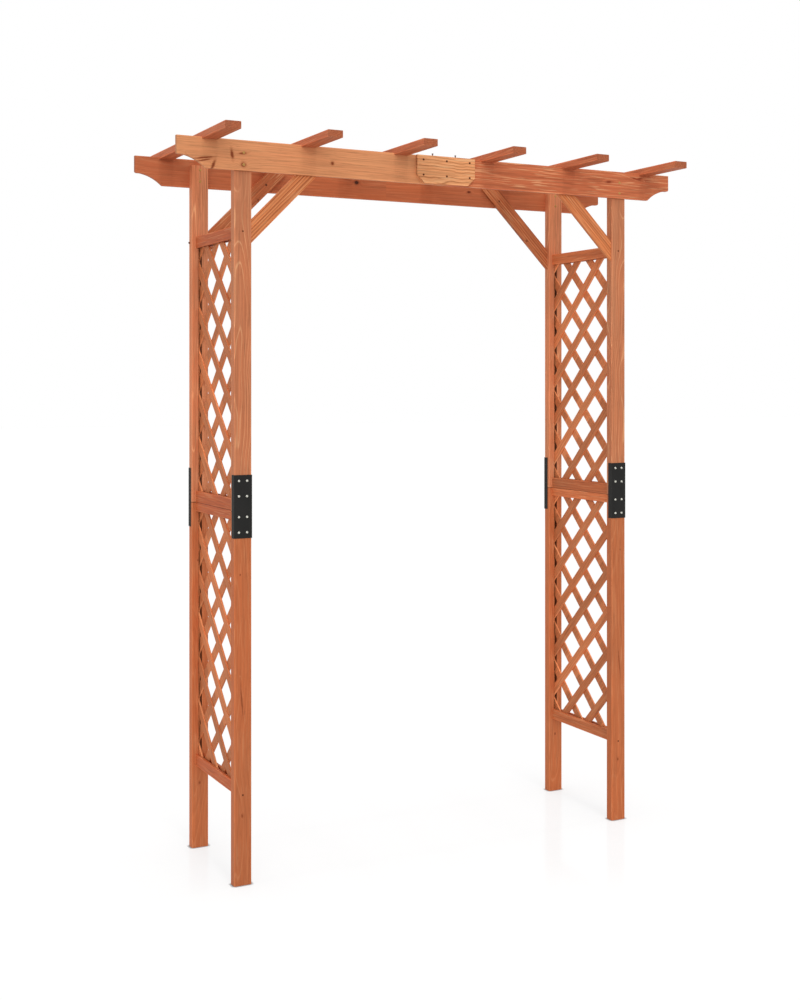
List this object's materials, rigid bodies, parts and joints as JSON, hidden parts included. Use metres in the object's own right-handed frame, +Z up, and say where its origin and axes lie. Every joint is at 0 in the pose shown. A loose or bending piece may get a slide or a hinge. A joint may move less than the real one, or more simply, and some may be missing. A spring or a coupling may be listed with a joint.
{
  "type": "garden arbour",
  "caption": "Free-standing timber garden arbour with slatted flat top, knee braces and two lattice side panels.",
  "frame": {"origin": "ground level at the centre of the plan", "axes": "+Z up, +X along the arch width to the right, +Y towards the back"},
  "size_m": [1.738, 0.804, 2.179],
  "materials": {
    "stained_fir_post": "satin",
    "stained_fir_beam": "satin",
    "stained_fir_rafter": "satin",
    "stained_fir_brace": "satin",
    "stained_fir_rail": "satin",
    "stained_fir_lattice": "satin",
    "black_steel": "satin",
    "bright_zinc": "satin",
    "dark_screw_steel": "satin"
  },
  "bodies": {
    "root": {"front_left_post_lower": "stained_fir_post", "front_left_post_upper": "stained_fir_post", "front_right_post_lower": "stained_fir_post", "front_right_post_upper": "stained_fir_post", "back_left_post_lower": "stained_fir_post", "back_left_post_upper": "stained_fir_post", "back_right_post_lower": "stained_fir_post", "back_right_post_upper": "stained_fir_post", "front_left_joint_plate": "black_steel", "front_right_joint_plate": "black_steel", "back_left_joint_plate": "black_steel", "back_right_joint_plate": "black_steel", "front_beam_left": "stained_fir_beam", "front_beam_right": "stained_fir_beam", "back_beam_left": "stained_fir_beam", "back_beam_right": "stained_fir_beam", "front_beam_cover": "stained_fir_beam", "back_beam_cover": "stained_fir_beam", "rafter_1": "stained_fir_rafter", "rafter_2": "stained_fir_rafter", "rafter_3": "stained_fir_rafter", "rafter_4": "stained_fir_rafter", "rafter_5": "stained_fir_rafter", "rafter_6": "stained_fir_rafter", "front_left_brace": "stained_fir_brace", "front_right_brace": "stained_fir_brace", "back_left_brace": "stained_fir_brace", "back_right_brace": "stained_fir_brace", "left_bottom_rail": "stained_fir_rail", "left_middle_rail_lower": "stained_fir_rail", "left_middle_rail_upper": "stained_fir_rail", "left_top_rail": "stained_fir_rail", "right_bottom_rail": "stained_fir_rail", "right_middle_rail_lower": "stained_fir_rail", "right_middle_rail_upper": "stained_fir_rail", "right_top_rail": "stained_fir_rail", "left_lower_lattice": "stained_fir_lattice", "left_upper_lattice": "stained_fir_lattice", "right_lower_lattice": "stained_fir_lattice", "right_upper_lattice": "stained_fir_lattice"}
  },
  "joints": []
}
